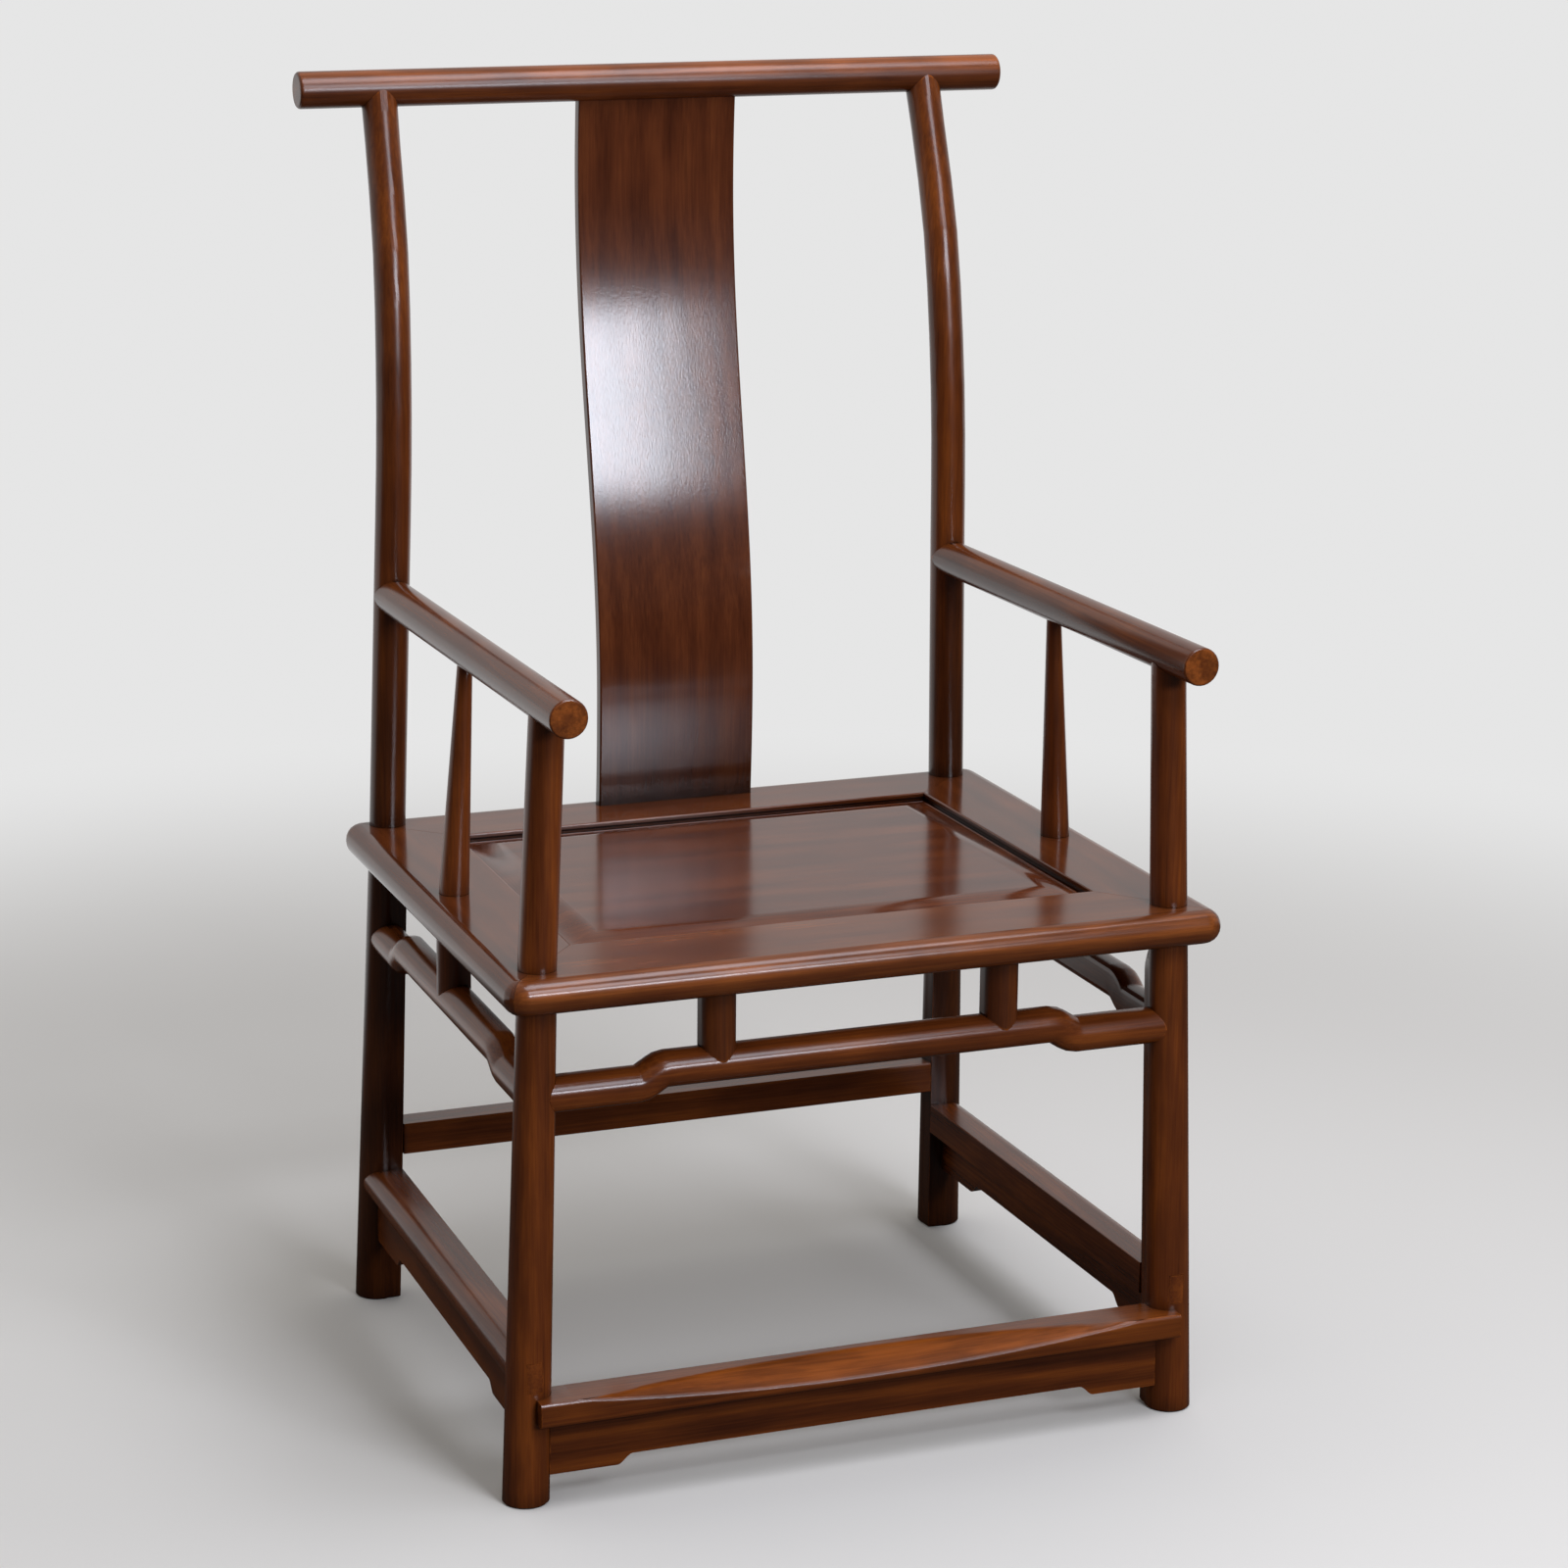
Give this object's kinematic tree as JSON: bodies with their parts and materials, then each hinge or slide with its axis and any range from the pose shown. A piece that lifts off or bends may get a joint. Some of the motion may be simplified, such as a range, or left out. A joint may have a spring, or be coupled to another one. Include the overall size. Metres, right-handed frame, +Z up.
{
  "type": "ming style armchair",
  "caption": "Wooden armchair in the Ming style with a straight yoke crest rail, curved back splat, round arms, framed panel seat, humpback stretchers and a footrest.",
  "frame": {"origin": "on the floor, under the middle of the chair's overall width and depth", "axes": "+Z up; -Y is the front, where the sitter's knees go; +X to the right as seen from the front"},
  "size_m": [0.708, 0.632, 1.204],
  "materials": {
    "frame_wood": "satin lacquer over dark red-brown hardwood",
    "seat_wood": "polished lacquer over dark red-brown hardwood",
    "splat_wood": "polished lacquer over dark red-brown hardwood"
  },
  "bodies": {
    "root": {"crest_rail": "frame_wood", "back_splat": "splat_wood", "left_rear_post": "frame_wood", "right_rear_post": "frame_wood", "left_front_post": "frame_wood", "right_front_post": "frame_wood", "left_arm": "frame_wood", "right_arm": "frame_wood", "left_arm_strut": "frame_wood", "right_arm_strut": "frame_wood", "seat_front_rail": "seat_wood", "seat_rear_rail": "seat_wood", "seat_left_rail": "seat_wood", "seat_right_rail": "seat_wood", "seat_panel": "seat_wood", "left_seat_batten": "seat_wood", "right_seat_batten": "seat_wood", "front_hump_stretcher": "frame_wood", "left_hump_stretcher": "frame_wood", "right_hump_stretcher": "frame_wood", "front_left_pillar": "frame_wood", "front_right_pillar": "frame_wood", "left_pillar": "frame_wood", "right_pillar": "frame_wood", "footrest": "frame_wood", "footrest_apron": "frame_wood", "left_lower_stretcher": "frame_wood", "right_lower_stretcher": "frame_wood", "left_stretcher_apron": "frame_wood", "right_stretcher_apron": "frame_wood", "rear_lower_stretcher": "frame_wood"}
  },
  "joints": []
}
